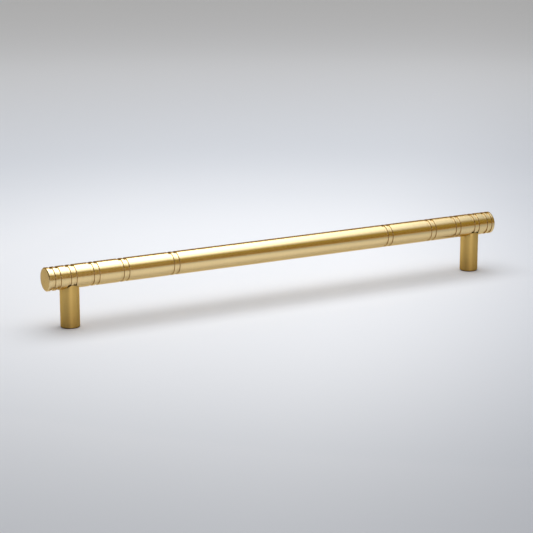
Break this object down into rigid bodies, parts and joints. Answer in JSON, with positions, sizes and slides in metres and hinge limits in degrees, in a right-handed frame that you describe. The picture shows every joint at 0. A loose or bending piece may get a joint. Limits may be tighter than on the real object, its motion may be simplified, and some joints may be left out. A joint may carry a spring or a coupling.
{
  "type": "bar cabinet pull",
  "caption": "Straight round bar pull with paired turned grooves towards each end, carried on coped round posts that are tapped at their feet for cabinet screws.",
  "frame": {"origin": "on the cabinet face, midway between the two screw holes", "axes": "+X along the bar, +Z away from the cabinet face, +Y across the bar"},
  "size_m": [0.2836, 0.0126, 0.0336],
  "materials": {
    "satin_brass": "satin, turned along its length and lightly brushed",
    "screw_steel": "plain zinc-plated"
  },
  "bodies": {
    "root": {"bar": "satin_brass", "left_post": "satin_brass", "right_post": "satin_brass", "left_set_screw": "screw_steel", "right_set_screw": "screw_steel"}
  },
  "joints": []
}
